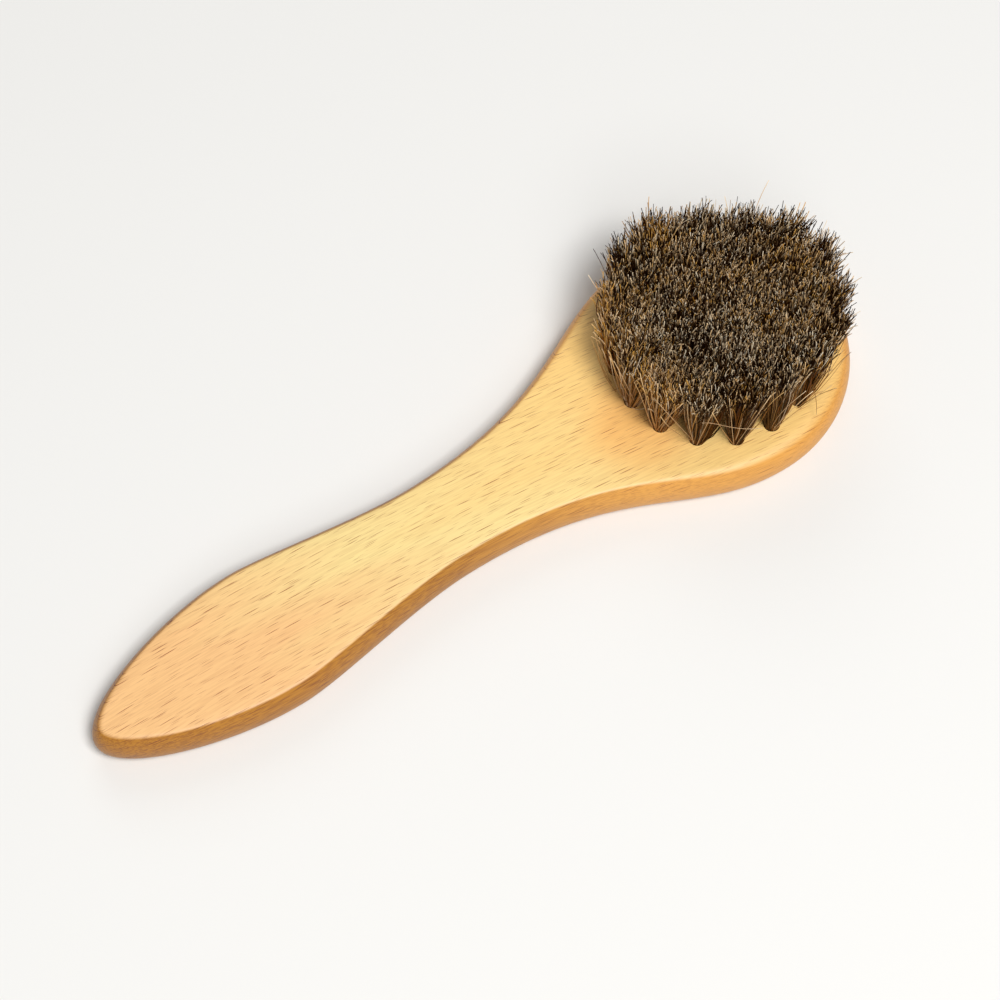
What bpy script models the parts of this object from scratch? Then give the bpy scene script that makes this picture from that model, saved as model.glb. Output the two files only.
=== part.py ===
"""Polish dauber: a flat beech handle whose round head carries tufts of horsehair.

Each tuft is folded round a flat metal anchor and driven with it into a blind hole of its
own. A tuft and its anchor are one body here, as they are once driven.
Units are metres. +Z points up through the bristles and +X runs along the handle towards
the head. The origin is at the middle of the length, on the underside that the dauber
lies on.
"""

import math

import bmesh
import bpy
from mathutils import Matrix, Vector
from mathutils.geometry import interpolate_bezier

# Handle, seen from above
HANDLE_LENGTH = 0.175
HEAD_WIDTH = 0.055
HEAD_NOSE = 0.0286  # from the head's widest place to its end
GRIP_WIDTH = 0.030
GRIP_FROM_TIP = 0.039
NECK_WIDTH = 0.021
NECK_FROM_TIP = 0.0795
TIP_RADIUS = 0.0035

# Pulls of the outline's curves, each as a share of the stretch that its curve spans
GRIP_PULL_TO_TIP = 0.41
GRIP_PULL_TO_NECK = 0.21
NECK_PULL_TO_GRIP = 0.31
NECK_PULL_TO_HEAD = 0.585
HEAD_PULL_TO_NECK = 0.335
QUARTER_ROUND_PULL = 0.5523  # makes a cubic curve follow a quarter of an ellipse

# Handle, seen from the side
HANDLE_THICKNESS = 0.010
SIDE_BOW = 0.0020  # how far the side stands out at mid height beyond its edges
EDGE_SOFTENING = 0.0008

# Holes in the head
HOLES_PER_RING = (1, 6, 11, 16)
RING_NAMES = ("centre", "inner", "middle", "outer")
OUTER_RING_FROM_EDGE = 0.0075
HOLE_DIAMETER = 0.0034
HOLE_DEPTH = 0.0065

# Anchors: flat blades, a little longer than the hole is wide, whose ends cut into its wall
ANCHOR_THICKNESS = 0.0004
ANCHOR_HEIGHT = 0.0018
ANCHOR_BITE = 0.00035

# Tufts
TUFT_HEIGHT = 0.019  # from the head's face to the trimmed tips
FOLD_THICKNESS = 0.0009  # hair that passes under the anchor
FOLD_NARROWING = 0.55  # width of the fold's underside against the root's
FAN = 1.08  # radius of a ring at the tips against its radius at the face
TIP_GAP = 0.0005  # between neighbouring tufts at their tips
STRAND_FLARE = 1.2  # width of a strand at its tip against its root
OUTER_STRAND_STAGES = (0.45, 1.0)  # heights of a strand's rings, as shares of its length
INNER_STRAND_STAGES = (1.0,)
SPREAD_CURVE = 1.15  # over 1 the hair leaves the face steeply and then opens
TRIM_UNEVENNESS = 0.0009
TRIM_STRIDE = 5  # steps through the strands' lengths, so that neighbours differ

# Clearances
TUFT_CLEARANCE = 0.0003  # round the folded hair, in its hole
ANCHOR_CLEARANCE = 0.0003  # round the anchor's ends, in the wood

# Facets
CURVE_POINTS = 13
SIDE_STEPS = 6  # even, so that one level lies at the widest
EDGE_STEPS = 2
HOLE_SIDES = 12
TUFT_SIDES = 8
HANDLE_SHARP_ANGLE = 35
TUFT_SHARP_ANGLE = 60

# Sizes that follow from those above
GRIP_X = -HANDLE_LENGTH / 2 + GRIP_FROM_TIP
NECK_X = -HANDLE_LENGTH / 2 + NECK_FROM_TIP
HEAD_X = HANDLE_LENGTH / 2 - HEAD_NOSE
OUTER_RING_RADIUS = min(HEAD_WIDTH / 2, HEAD_NOSE) - OUTER_RING_FROM_EDGE
RING_STEP = OUTER_RING_RADIUS / (len(HOLES_PER_RING) - 1)
ANCHOR_LENGTH = HOLE_DIAMETER + 2 * ANCHOR_BITE
TUFT_ROOT_RADIUS = HOLE_DIAMETER / 2 - TUFT_CLEARANCE
TUFT_ROOT_BOTTOM = -HOLE_DEPTH + TUFT_CLEARANCE  # heights from the head's face
ANCHOR_MIDDLE = TUFT_ROOT_BOTTOM + FOLD_THICKNESS + ANCHOR_HEIGHT / 2


def clear_scene():
    """Empties the scene and drops meshes and materials that nothing uses."""
    for item in list(bpy.data.objects):
        bpy.data.objects.remove(item, do_unlink=True)
    for store in (bpy.data.meshes, bpy.data.materials):
        for data in list(store):
            if data.users == 0:
                store.remove(data)


def principled(name, colour, roughness, metallic=0.0):
    """Makes a Principled material from a linear colour."""
    material = bpy.data.materials.new(name)
    material.use_nodes = True
    shader = material.node_tree.nodes["Principled BSDF"]
    shader.inputs["Base Color"].default_value = (*colour, 1.0)
    shader.inputs["Roughness"].default_value = roughness
    shader.inputs["Metallic"].default_value = metallic
    material.diffuse_color = (*colour, 1.0)
    return material


def mesh_from(bm, name, material, sharp_angle=HANDLE_SHARP_ANGLE):
    """Turns a bmesh into a mesh with its faces outwards and its round sides smooth."""
    bmesh.ops.recalc_face_normals(bm, faces=bm.faces)
    mesh = bpy.data.meshes.new(name)
    bm.to_mesh(mesh)
    bm.free()
    mesh.materials.append(material)
    mesh.shade_smooth()
    mesh.set_sharp_from_angle(angle=math.radians(sharp_angle))
    return mesh


def place(name, mesh, parent=None, location=(0, 0, 0), turn=0.0):
    """Adds an object for a mesh, turned about +Z, under its parent."""
    item = bpy.data.objects.new(name, mesh)
    bpy.context.scene.collection.objects.link(item)
    item.parent = parent
    item.location = location
    item.rotation_euler = (0, 0, turn)
    return item


def combine(base, other, operation):
    """Returns the mesh of base with other joined to it or cut from it."""
    first = place("combine_base", base)
    second = place("combine_tool", other)
    modifier = first.modifiers.new("combine", "BOOLEAN")
    modifier.operation = operation
    modifier.solver = "EXACT"
    modifier.material_mode = "TRANSFER"
    modifier.object = second
    bpy.context.view_layer.update()
    evaluated = first.evaluated_get(bpy.context.evaluated_depsgraph_get())
    result = bpy.data.meshes.new_from_object(evaluated)
    result.name = base.name
    bpy.data.objects.remove(first, do_unlink=True)
    bpy.data.objects.remove(second, do_unlink=True)
    return result


def half_outline():
    """Points of the handle's +Y side, from its tip to the head's end."""
    tip_x = -HANDLE_LENGTH / 2
    end_x = HANDLE_LENGTH / 2
    grip = GRIP_WIDTH / 2
    neck = NECK_WIDTH / 2
    head = HEAD_WIDTH / 2
    grip_handle_x = GRIP_X - GRIP_PULL_TO_TIP * GRIP_FROM_TIP
    # a cubic's end curvature gives the pull that rounds the tip to its radius
    tip_pull = math.sqrt(2 * (grip_handle_x - tip_x) * TIP_RADIUS / 3)
    to_neck = NECK_X - GRIP_X
    to_head = HEAD_X - NECK_X
    curves = (
        ((tip_x, 0), (tip_x, tip_pull), (grip_handle_x, grip), (GRIP_X, grip)),
        ((GRIP_X, grip), (GRIP_X + GRIP_PULL_TO_NECK * to_neck, grip),
         (NECK_X - NECK_PULL_TO_GRIP * to_neck, neck), (NECK_X, neck)),
        ((NECK_X, neck), (NECK_X + NECK_PULL_TO_HEAD * to_head, neck),
         (HEAD_X - HEAD_PULL_TO_NECK * to_head, head), (HEAD_X, head)),
        ((HEAD_X, head), (HEAD_X + QUARTER_ROUND_PULL * HEAD_NOSE, head),
         (end_x, QUARTER_ROUND_PULL * head), (end_x, 0)),
    )
    points = []
    for curve in curves:
        corners = [Vector((x, y, 0)) for x, y in curve]
        points += interpolate_bezier(*corners, CURVE_POINTS)[:-1]
    points.append(Vector((end_x, 0, 0)))
    return points


def handle_outline():
    """Closed outline of the handle as points with their outward normals."""
    upper = half_outline()
    lower = [Vector((p.x, -p.y, 0)) for p in reversed(upper[1:-1])]
    points = upper + lower
    count = len(points)
    outline = []
    for i, point in enumerate(points):
        along = (points[(i + 1) % count] - points[i - 1]).normalized()
        outline.append((point, Vector((-along.y, along.x, 0))))
    return outline


def side_profile():
    """Heights on the handle's side, each with how far it lies inside the outline."""
    half = HANDLE_THICKNESS / 2
    radius = (half ** 2 + SIDE_BOW ** 2) / (2 * SIDE_BOW)
    reach = math.asin(half / radius)
    profile = []
    for step in range(SIDE_STEPS + 1):
        angle = reach * (2 * step / SIDE_STEPS - 1)
        profile.append((half + radius * math.sin(angle), radius * (1 - math.cos(angle))))
    return profile


def handle_blank(material):
    """The handle before drilling: its outline lofted up the bowed side."""
    bm = bmesh.new()
    outline = handle_outline()
    loops = []
    for height, inset in side_profile():
        ring = [bm.verts.new(p - n * inset + Vector((0, 0, height))) for p, n in outline]
        loops.append([bm.edges.new((v, ring[i - 1])) for i, v in enumerate(ring)])
    for lower, upper in zip(loops, loops[1:]):
        bmesh.ops.bridge_loops(bm, edges=lower + upper)
    for rim in (loops[0], loops[-1]):
        bmesh.ops.contextual_create(bm, geom=rim)
    bmesh.ops.bevel(bm, geom=loops[0] + loops[-1], offset=EDGE_SOFTENING,
                    segments=EDGE_STEPS, profile=0.5, affect="EDGES", material=-1)
    return mesh_from(bm, "handle", material)


def hole_places():
    """Every hole as its ring's number, its number in the ring, its radius and angle."""
    places = []
    for ring, count in enumerate(HOLES_PER_RING):
        for number in range(count):
            places.append((ring, number, ring * RING_STEP, 2 * math.pi * number / count))
    return places


def hole_matrix(radius, angle):
    """From a hole's own axes, +X pointing away from the head's middle, to the head's."""
    return Matrix.Rotation(angle, 4, "Z") @ Matrix.Translation((radius, 0, 0))


def block(size, middle=(0, 0, 0)):
    """A bmesh block of a given size about its middle."""
    bm = bmesh.new()
    shape = Matrix.Translation(middle) @ Matrix.Diagonal((*size, 1))
    bmesh.ops.create_cube(bm, size=1.0, matrix=shape)
    return bm


def anchor_seat():
    """The slot that an anchor needs: its own size and the clearance all round."""
    room = 2 * ANCHOR_CLEARANCE
    return (ANCHOR_THICKNESS + room, ANCHOR_LENGTH + room, ANCHOR_HEIGHT + room)


def hole_cutter(material):
    """One blind hole, with the cuts that its anchor makes in the wall."""
    bm = bmesh.new()
    above = HOLE_DEPTH / 2  # how far the cutter stands out of the wood
    bmesh.ops.create_cone(bm, cap_ends=True, segments=HOLE_SIDES,
                          radius1=HOLE_DIAMETER / 2, radius2=HOLE_DIAMETER / 2,
                          depth=HOLE_DEPTH + above,
                          matrix=Matrix.Translation((0, 0, (above - HOLE_DEPTH) / 2)))
    hole = mesh_from(bm, "hole_cutter", material)
    slot = mesh_from(block(anchor_seat(), (0, 0, ANCHOR_MIDDLE)), "slot_cutter", material)
    return combine(hole, slot, "UNION")


def all_hole_cutters(material):
    """One mesh with a cutter at every hole."""
    cutter = hole_cutter(material)
    head = Matrix.Translation((HEAD_X, 0, HANDLE_THICKNESS))
    bm = bmesh.new()
    for _, _, radius, angle in hole_places():
        start = len(bm.verts)
        bm.from_mesh(cutter)
        bm.verts.ensure_lookup_table()
        to_place = head @ hole_matrix(radius, angle)
        bmesh.ops.transform(bm, matrix=to_place, verts=bm.verts[start:])
    return mesh_from(bm, "hole_cutters", material)


def build_handle(material):
    """The one-piece handle with its drilled head."""
    drilled = combine(handle_blank(material), all_hole_cutters(material), "DIFFERENCE")
    drilled.shade_smooth()
    drilled.set_sharp_from_angle(angle=math.radians(HANDLE_SHARP_ANGLE))
    return place("handle", drilled)


def edge_angle(edge, start):
    """Direction of an edge seen from above, leaving one of its ends."""
    along = edge.other_vert(start).co - start.co
    return math.atan2(along.y, along.x)


def strand_cells(bm, face):
    """Splits a tuft's top into cells, one for each strand: a ring of them round a few."""
    inner_count = TUFT_SIDES // 2
    # an inner ring at this share of the radius makes all the cells alike in area
    inner_share = math.sqrt(inner_count / (TUFT_SIDES + inner_count))
    apothem = TUFT_ROOT_RADIUS * math.cos(math.pi / TUFT_SIDES)
    inset = bmesh.ops.inset_region(bm, faces=[face], thickness=apothem * (1 - inner_share))
    middle = bmesh.ops.poke(bm, faces=[face])["verts"][0]
    spokes = sorted(middle.link_edges, key=lambda edge: edge_angle(edge, middle))
    merged = bmesh.ops.dissolve_edges(bm, edges=spokes[1::2], use_verts=False)
    return inset["faces"], merged["region"]


def grow_strand(bm, cell, stages, lean, spread, height):
    """Extrudes a cell into a flaring strand that opens outwards as it rises."""
    root = cell.calc_center_median()
    offsets = [vert.co - root for vert in cell.verts]
    for stage in stages:
        cell = bmesh.ops.extrude_discrete_faces(bm, faces=[cell])["faces"][0]
        opening = stage ** SPREAD_CURVE
        middle = root * (1 + (spread - 1) * opening)
        middle.x += lean * opening
        middle.z = height * stage
        width = 1 + (STRAND_FLARE - 1) * stage
        for vert, offset in zip(cell.verts, offsets):
            vert.co = middle + offset * width


def tuft_tip_reach():
    """Radius of a tuft's tips that leaves the gap to the nearest neighbour."""
    steps = [RING_STEP]
    for ring, count in enumerate(HOLES_PER_RING):
        if ring > 0:
            steps.append(2 * ring * RING_STEP * math.sin(math.pi / count))
    return (min(steps) * FAN - TIP_GAP) / 2


def tuft_root(bm):
    """The packed hair in the hole, narrowing to its fold, and its top face."""
    turn = Matrix.Rotation(math.pi / TUFT_SIDES, 4, "Z")
    narrow = Matrix.Diagonal((FOLD_NARROWING, 1, 1, 1))
    bottom = Matrix.Translation((0, 0, TUFT_ROOT_BOTTOM))
    bmesh.ops.create_circle(bm, cap_ends=True, segments=TUFT_SIDES, radius=TUFT_ROOT_RADIUS,
                            matrix=bottom @ narrow @ turn)
    top = bm.faces[:][0]
    widen = Matrix.Diagonal((1 / FOLD_NARROWING, 1, 1, 1))
    rise = Matrix.Translation((0, 0, FOLD_THICKNESS))
    to_face = Matrix.Translation((0, 0, -TUFT_ROOT_BOTTOM - FOLD_THICKNESS))
    for step in (rise @ widen, to_face):
        # with its edges named, a face inside the shell is not left behind
        raised = bmesh.ops.extrude_face_region(bm, geom=[top, *top.edges])["geom"]
        top = [item for item in raised if isinstance(item, bmesh.types.BMFace)][0]
        bmesh.ops.transform(bm, matrix=step, verts=top.verts)
    return top


def tuft_mesh(ring, hair, steel):
    """A tuft of one ring: its folded root, its strands and the anchor through the fold."""
    bm = bmesh.new()
    outer, inner = strand_cells(bm, tuft_root(bm))
    lean = (FAN - 1) * ring * RING_STEP
    # the outer strands' outermost corners end at the tuft's reach
    from_axis = outer[0].calc_center_median().xy.length
    corner = (TUFT_ROOT_RADIUS - from_axis) * STRAND_FLARE
    spread = (tuft_tip_reach() - corner) / from_axis
    count = len(outer) + len(inner)
    for cells, stages in ((outer, OUTER_STRAND_STAGES), (inner, INNER_STRAND_STAGES)):
        for number, cell in enumerate(cells):
            short = TRIM_UNEVENNESS * (number * TRIM_STRIDE % count) / count
            grow_strand(bm, cell, stages, lean, spread, TUFT_HEIGHT - short)
    tuft = mesh_from(bm, "tuft_" + RING_NAMES[ring], hair, TUFT_SHARP_ANGLE)
    blade = block((ANCHOR_THICKNESS, ANCHOR_LENGTH, ANCHOR_HEIGHT), (0, 0, ANCHOR_MIDDLE))
    anchored = combine(tuft, mesh_from(blade, "anchor", steel), "UNION")
    anchored.shade_smooth()
    anchored.set_sharp_from_angle(angle=math.radians(TUFT_SHARP_ANGLE))
    return anchored


def build_tufts(head, hair, steel):
    """All the tufts, one object each; those of a ring share their mesh."""
    meshes = [tuft_mesh(ring, hair, steel) for ring in range(len(HOLES_PER_RING))]
    for ring, number, radius, angle in hole_places():
        name = "tuft_" + RING_NAMES[ring]
        if HOLES_PER_RING[ring] > 1:
            name += "_" + str(number + 1)
        place(name, meshes[ring], head, hole_matrix(radius, angle).translation, angle)


def main():
    """Builds the dauber."""
    clear_scene()
    beech = principled("beech", (0.78, 0.50, 0.24), 0.35)
    horsehair = principled("horsehair", (0.055, 0.038, 0.026), 0.6)
    steel = principled("anchor_steel", (0.55, 0.54, 0.52), 0.3, 1.0)
    head = bpy.data.objects.new("head_centre", None)
    bpy.context.scene.collection.objects.link(head)
    head.location = (HEAD_X, 0, HANDLE_THICKNESS)
    build_handle(beech)
    build_tufts(head, horsehair, steel)


main()
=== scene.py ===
"""Dresses the polish dauber: a lacquered beech handle with 34 tufts of horsehair.

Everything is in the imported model's frame. Units are metres, +X runs along the handle
towards the head, +Z points up through the bristles, and the underside lies on z = 0.
"""

import logging
import math
from collections.abc import Callable, Iterator
from dataclasses import dataclass, field
from enum import Enum
from functools import partial
from typing import NamedTuple

import bmesh
import bpy
import numpy as np
from bmesh.types import BMEdge, BMesh, BMFace, BMVert
from bpy.types import ID, Material, Mesh, Node, NodeSocket, NodeTree, Object
from mathutils import Matrix, Vector
from mathutils.geometry import interpolate_bezier


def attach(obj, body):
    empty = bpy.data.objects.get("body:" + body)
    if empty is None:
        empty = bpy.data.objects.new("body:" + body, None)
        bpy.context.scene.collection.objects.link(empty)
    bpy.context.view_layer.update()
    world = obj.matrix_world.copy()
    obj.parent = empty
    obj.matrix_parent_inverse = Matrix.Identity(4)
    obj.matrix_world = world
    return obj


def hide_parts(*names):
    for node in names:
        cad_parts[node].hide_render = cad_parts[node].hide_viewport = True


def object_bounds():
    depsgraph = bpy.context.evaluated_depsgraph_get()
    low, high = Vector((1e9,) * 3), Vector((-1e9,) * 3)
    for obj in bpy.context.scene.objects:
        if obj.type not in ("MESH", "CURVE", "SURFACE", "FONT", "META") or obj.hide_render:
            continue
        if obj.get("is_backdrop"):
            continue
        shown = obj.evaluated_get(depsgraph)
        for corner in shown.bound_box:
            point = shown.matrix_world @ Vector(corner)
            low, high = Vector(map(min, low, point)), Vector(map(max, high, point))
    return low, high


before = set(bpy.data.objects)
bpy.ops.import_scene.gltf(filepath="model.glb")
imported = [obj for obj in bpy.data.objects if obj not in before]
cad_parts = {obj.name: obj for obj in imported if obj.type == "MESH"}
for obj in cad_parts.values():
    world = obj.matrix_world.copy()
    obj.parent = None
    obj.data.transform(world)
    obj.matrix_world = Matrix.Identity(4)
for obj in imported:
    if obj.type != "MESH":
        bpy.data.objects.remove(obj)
CAD_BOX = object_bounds()

LOG = logging.getLogger("dauber")
BODY = "root"
GOLDEN_ANGLE = math.pi * (3 - math.sqrt(5))
MM = 0.001
# inputs of a Mix node that mixes colours
MIX_A, MIX_B = 6, 7
Pair = tuple[float, float]
Triple = tuple[float, float, float]
NodeAdder = Callable[..., Node]


def linear(colour: str) -> tuple[float, float, float, float]:
    """Turns an sRGB hex colour into a linear one.

    Args:
        colour: Six hex digits after a hash sign.

    Returns:
        Red, green, blue and an alpha of 1.
    """
    shares = [int(colour[i:i + 2], 16) / 255 for i in (1, 3, 5)]
    parts = [c / 12.92 if c <= 0.04045 else ((c + 0.055) / 1.055) ** 2.4 for c in shares]
    return (*parts, 1.0)


def feed(node: Node, inputs: dict) -> None:
    """Gives a node's sockets their values or links.

    Args:
        node: The node.
        inputs: For each socket, by name or number, its value, its hex colour, or the socket
            or node that feeds it. A node feeds it from its first output in use.
    """
    for name, value in inputs.items():
        if isinstance(value, Node):
            value = next(output for output in value.outputs if output.enabled)
        if isinstance(value, NodeSocket):
            node.id_data.links.new(value, node.inputs[name])
        else:
            is_colour = isinstance(value, str)
            node.inputs[name].default_value = linear(value) if is_colour else value


def add_node(tree: NodeTree, kind: str, inputs: dict | None = None,
             **settings: object) -> Node:
    """Adds a shader node with its settings and links.

    Args:
        tree: The node tree of a material or of the world.
        kind: The node's type, without the word ShaderNode.
        inputs: What feed takes.
        settings: The node's own properties.

    Returns:
        The new node.
    """
    node = tree.nodes.new("ShaderNode" + kind)
    for name, value in settings.items():
        setattr(node, name, value)
    feed(node, inputs or {})
    return node


def set_ramp(node: Node, stops: dict[float, str]) -> None:
    """Gives a colour ramp its stops.

    Args:
        node: The colour ramp.
        stops: For each place on the ramp, its hex colour.
    """
    elements = node.color_ramp.elements
    while len(elements) < len(stops):
        elements.new(0.5)
    for element, (place, colour) in zip(elements, sorted(stops.items())):
        element.position = place
        element.color = linear(colour)


def new_material(name: str) -> tuple[Material, Node, NodeAdder]:
    """Makes a material.

    Args:
        name: What the material is.

    Returns:
        The material, its Principled shader and add_node for its own node tree.
    """
    material = bpy.data.materials.new(name)
    material.use_nodes = True
    tree = material.node_tree
    return material, tree.nodes["Principled BSDF"], partial(add_node, tree)


def to_mesh(bm: BMesh, name: str, material: Material, sharp_angle: float = 35.0) -> Mesh:
    """Turns a bmesh into a smooth mesh with its faces outwards, and frees it.

    Args:
        bm: The shape.
        name: The mesh's name.
        material: Its material.
        sharp_angle: Edges that bend more than this, in degrees, stay sharp.

    Returns:
        The mesh.
    """
    bmesh.ops.recalc_face_normals(bm, faces=bm.faces)
    mesh = bpy.data.meshes.new(name)
    bm.to_mesh(mesh)
    bm.free()
    mesh.materials.append(material)
    mesh.shade_smooth()
    mesh.set_sharp_from_angle(angle=math.radians(sharp_angle))
    return mesh


def add_object(name: str, data: ID) -> Object:
    """Adds an object to the scene.

    Args:
        name: The object's name.
        data: Its mesh, light or camera.

    Returns:
        The object, at the origin.
    """
    item = bpy.data.objects.new(name, data)
    bpy.context.scene.collection.objects.link(item)
    return item


def smooth_step(value: float, low: float, high: float) -> float:
    """Rises smoothly from 0 at low to 1 at high, which may be below low."""
    share = min(max((value - low) / (high - low), 0.0), 1.0)
    return share * share * (3 - 2 * share)


class TuftRing(Enum):
    """The rings of tufts from the middle outwards, each with its number of holes."""

    CENTRE = 1
    INNER = 6
    MIDDLE = 11
    OUTER = 16

    @property
    def steps(self) -> int:
        """How many ring steps it lies from the head's middle."""
        return list(TuftRing).index(self)


@dataclass(frozen=True)
class Hole:
    """A blind hole of the head."""

    ring: TuftRing
    number: int
    middle: Vector
    angle: float

    @property
    def label(self) -> str:
        """Its ring's name, with its number where the ring has several."""
        name = self.ring.name.lower()
        return name if self.ring.value == 1 else f"{name}_{self.number + 1}"


@dataclass(frozen=True)
class HolePattern:
    """The drilling of the head."""

    head_x: float = 58.9 * MM
    face: float = 10 * MM
    outer_radius: float = 20 * MM
    diameter: float = 3.4 * MM
    depth: float = 6.5 * MM

    @property
    def ring_step(self) -> float:
        """From one ring to the next."""
        return self.outer_radius / TuftRing.OUTER.steps

    def holes(self) -> Iterator[Hole]:
        """Places the holes.

        Yields:
            Every hole, from the middle outwards.
        """
        for ring in TuftRing:
            for number in range(ring.value):
                angle = 2 * math.pi * number / ring.value
                reach = ring.steps * self.ring_step
                middle = Vector((self.head_x + reach * math.cos(angle),
                                 reach * math.sin(angle), self.face))
                yield Hole(ring, number, middle, angle)


@dataclass(frozen=True)
class LacqueredBeech:
    """Steamed beech, sanded and given two thin coats of clear satin lacquer.

    Beech is even and pale, and its rays show as short dark dashes along the grain. The
    lacquer warms it and lays a soft, low sheen over it.
    """

    name: str = "lacquered_beech"
    # rosy, pale and honey tones of the face
    tones: dict[float, str] = field(default_factory=lambda: {
        0.24: "#EEBC7E", 0.48: "#F0D58E", 0.9: "#F4C878"})
    # the tone rises along the handle, from one of these places to the other
    tone_places: Pair = (-90 * MM, 90 * MM)
    tone_along: Pair = (-0.15, 0.85)
    far_paler: float = 9.0  # per metre, how the tone rises across the handle
    figure_cell: Triple = (80 * MM, 7 * MM, 7 * MM)  # of the broad soft figure
    figure_strength: float = 0.3
    # the sides take a darker, more orange colour than the face: partly the finish soaking deeper,
    # partly painted shade, deeper at the grip than at the head
    grip_side_soak_and_shade: str = "#B07204"  # partly the finish soaking deeper, partly painted shade on the sides
    head_side_soak_and_shade: str = "#DF9D44"
    side_strength: float = 0.95
    side_slope: float = 0.72  # upright part of the normal where the side's colour is full
    side_change: Pair = (-12 * MM, 32 * MM)  # from the grip's to the head's
    # strength of the dashes and of the fibres on the face, the grip's side and the head's
    dash_strength: Triple = (1.0, 2.2, 0.8)
    fibre_strength: Triple = (0.13, 0.42, 0.2)
    # the fibres are drawn 0.3 mm apart because real ones are too fine to show
    fibre_cell: Triple = (7 * MM, 0.3 * MM, 0.3 * MM)
    fibre_edges: Pair = (0.6, 0.35)  # the noise from between the fibres to on them
    stain: str = "#A06832"  # what full strength leaves of each colour
    radial_tilt: float = -45.0  # degrees from upright to the way that the rays run
    grain_turn: float = -1.0  # degrees from the handle's axis at the grip's end
    grain_bend: float = 0.56  # per metre, turns the grain further towards the head
    grip_end: float = -70 * MM
    # rays are the edges of thin sheets that run right through: strong dashes up to 5 mm
    # long and 0.12 mm wide, and finer ones up to 3.6 mm long and 0.1 mm wide, drawn a
    # little coarser than real ones so that they show
    strong_cell: Pair = (16 * MM, 0.38 * MM)  # along the grain and across it
    strong_radius: float = 0.155  # half a dash's size as a share of its cell's
    fine_cell: Pair = (10 * MM, 0.27 * MM)
    fine_radius: float = 0.18
    fine_strength: float = 0.6
    ray_turn: float = 33.0  # degrees, of the square cells that spread the rays
    ray_scatter: float = 0.7  # how far a ray may lie from the middle of its cell
    shortest_ray: float = 0.35  # as a share of the longest
    faintest_ray: float = 0.35  # as a share of the darkest
    ray_edge: float = 0.3  # share of the longest ray's radius over which a ray fades
    pore_depth: float = 0.05 * MM
    # painted shadow: the wood is darker and warmer on the neck's side of the tufts, where their shade
    # falls
    tuft_shadow_place: Triple = (37 * MM, -5 * MM, 10 * MM)
    tuft_shadow_reach: float = 15 * MM
    tuft_shadow_tint: str = "#FFECDE"
    roughness: Pair = (0.42, 0.56)

    def grain_vector(self, add: NodeAdder) -> Node:
        """Object coordinates with X laid along the grain, which bends a little.

        Args:
            add: Adds a node to the material.

        Returns:
            The node with the coordinates.
        """
        place = add("TexCoord").outputs["Object"]
        x, y, z = add("SeparateXYZ", {0: place}).outputs
        along = add("Math", {0: x, 1: self.grip_end}, operation="SUBTRACT")
        squared = add("Math", {0: along, 1: 2.0}, operation="POWER")
        bent = add("Math", {0: squared, 1: self.grain_bend, 2: y}, operation="MULTIPLY_ADD")
        joined = add("CombineXYZ", {0: x, 1: bent, 2: z})
        turn = (math.radians(self.radial_tilt), 0.0, math.radians(-self.grain_turn))
        return add("Mapping", {"Vector": joined, "Rotation": turn})

    def streaks(self, add: NodeAdder, grain: Node, cell: Triple, detail: float) -> Node:
        """Noise drawn out along the grain.

        Args:
            add: Adds a node to the material.
            grain: Coordinates along the grain.
            cell: Size of the noise's grain along each axis, in metres.
            detail: Levels of finer noise.

        Returns:
            The node with the noise, from 0 to 1.
        """
        scaled = add("VectorMath", {0: grain, 1: cell}, operation="DIVIDE")
        return add("TexNoise", {"Vector": scaled, "Scale": 1.0, "Detail": detail})

    def rays(self, add: NodeAdder, grain: Node, cell: Pair, radius: float) -> Node:
        """The dark dashes where the wood's rays are cut, one to a cell.

        Args:
            add: Adds a node to the material.
            grain: Coordinates along the grain.
            cell: Spacing of the dashes along the grain and across it, in metres.
            radius: Half the longest dash, as a share of its cell.

        Returns:
            The node with how dark the wood is there, from 0 to 1.
        """
        # the cells are turned once they are square, so that their rows run almost along
        # the grain and no band is left without dashes
        square = add("Mapping", {"Vector": grain, "Scale": (1 / cell[0], 1 / cell[1], 1.0),
                                 "Rotation": (0, 0, math.radians(self.ray_turn))})
        dash = add("TexVoronoi", {"Vector": square, "Scale": 1.0,
                                  "Randomness": self.ray_scatter}, voronoi_dimensions="2D")
        dark_chance, long_chance, _ = add("SeparateColor", {0: dash.outputs["Color"]}).outputs
        reach = add("MapRange", {"Value": long_chance, "To Min": radius * self.shortest_ray,
                                 "To Max": radius})
        inside = add("Math", {0: reach, 1: dash.outputs["Distance"]}, operation="SUBTRACT")
        core = add("MapRange", {"Value": inside, "From Max": radius * self.ray_edge})
        weight = add("MapRange", {"Value": dark_chance, "To Min": self.faintest_ray})
        return add("Math", {0: core, 1: weight}, operation="MULTIPLY")

    def face_tone(self, add: NodeAdder, grain: Node) -> Node:
        """The face's colour under its fibres and rays.

        Args:
            add: Adds a node to the material.
            grain: Coordinates along the grain.

        Returns:
            The node with the colour, rosy at the near edge of the grip and paler towards
            the head and the far edge.
        """
        figure = self.streaks(add, grain, self.figure_cell, 2.0)
        x, y, _ = add("SeparateXYZ", {0: grain}).outputs
        tip, end = self.tone_places
        low, high = self.tone_along
        along = add("MapRange", {"Value": x, "From Min": tip, "From Max": end,
                                 "To Min": low, "To Max": high})
        across = add("Math", {0: y, 1: self.far_paler, 2: along}, operation="MULTIPLY_ADD")
        place = add("Math", {0: figure, 1: self.figure_strength, 2: across},
                    operation="MULTIPLY_ADD")
        tone = add("ValToRGB", {0: place})
        set_ramp(tone, self.tones)
        return tone

    def make(self) -> Material:
        """Makes the material.

        Returns:
            The material.
        """
        material, shader, add = new_material(self.name)
        grain = self.grain_vector(add)
        coords = add("TexCoord").outputs
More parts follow.
